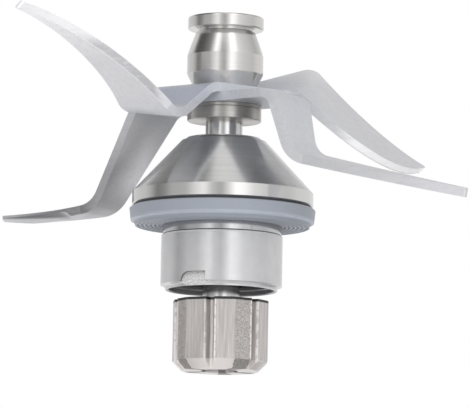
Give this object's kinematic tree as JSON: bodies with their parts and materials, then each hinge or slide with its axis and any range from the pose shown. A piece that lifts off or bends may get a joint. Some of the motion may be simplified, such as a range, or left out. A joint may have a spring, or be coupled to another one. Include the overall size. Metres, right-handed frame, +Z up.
{
  "type": "blender blade assembly",
  "caption": "Blender blade unit: folded sheet blades under a turned knob, on a shaft in ball bearings inside a cone-topped flanged housing, with a ring seal and a lobed drive coupling below.",
  "frame": {"origin": "centre of the locating spigot at its upper shoulder, under the neck that carries the ring seal", "axes": "+Z up along the shaft toward the end knob; the picture looks along +Y with +X to the right"},
  "size_m": [0.0996, 0.078, 0.0771],
  "materials": {
    "turned_steel": "fine turned",
    "polished_steel": "turned and polished",
    "blade_steel": "satin",
    "collar_steel": "brushed round",
    "bright_steel": "ground",
    "bearing_steel": "ground",
    "sheet_steel": "satin",
    "spring_steel": "blackened",
    "screw_steel": "satin",
    "sintered_metal": "matt, grainy",
    "silicone": "satin",
    "seal_rubber": "matt",
    "cage_polymer": "matt"
  },
  "bodies": {
    "housing": {"bearing_housing": "turned_steel", "flange_seal": "silicone", "shaft_lip_seal": "seal_rubber", "lip_spring": "bright_steel", "upper_outer_ring": "bearing_steel", "upper_top_shield": "sheet_steel", "upper_bottom_shield": "sheet_steel", "lower_outer_ring": "bearing_steel", "lower_top_shield": "sheet_steel", "lower_bottom_shield": "sheet_steel", "outer_spacer": "turned_steel", "shim_washer": "sheet_steel", "housing_circlip": "spring_steel"},
    "rotor": {"drive_shaft": "bright_steel", "end_knob": "polished_steel", "upper_blade": "blade_steel", "lower_blade": "blade_steel", "blade_washer": "collar_steel", "blade_collar": "collar_steel", "upper_inner_ring": "bearing_steel", "lower_inner_ring": "bearing_steel", "inner_spacer": "turned_steel", "upper_shaft_circlip": "spring_steel", "lower_shaft_circlip": "spring_steel", "drive_coupling": "sintered_metal", "coupling_washer": "sheet_steel", "coupling_screw": "screw_steel"},
    "upper_ball_set": {"upper_balls": "bearing_steel", "upper_cage": "cage_polymer"},
    "lower_ball_set": {"lower_balls": "bearing_steel", "lower_cage": "cage_polymer"}
  },
  "joints": [
    {"name": "rotor_spin", "type": "hinge", "parent": "housing", "child": "rotor", "pos_m": [0, 0, 0], "axis": [0, 0, 1], "continuous": true},
    {"name": "upper_cage_spin", "type": "hinge", "parent": "housing", "child": "upper_ball_set", "pos_m": [0, 0, 0.01238], "axis": [0, 0, 1], "continuous": true},
    {"name": "lower_cage_spin", "type": "hinge", "parent": "housing", "child": "lower_ball_set", "pos_m": [0, 0, -0.00462], "axis": [0, 0, 1], "continuous": true}
  ],
  "couplings": [
    {"joint": "upper_cage_spin", "follows": "rotor_spin", "ratio": 0.368},
    {"joint": "lower_cage_spin", "follows": "rotor_spin", "ratio": 0.368}
  ]
}
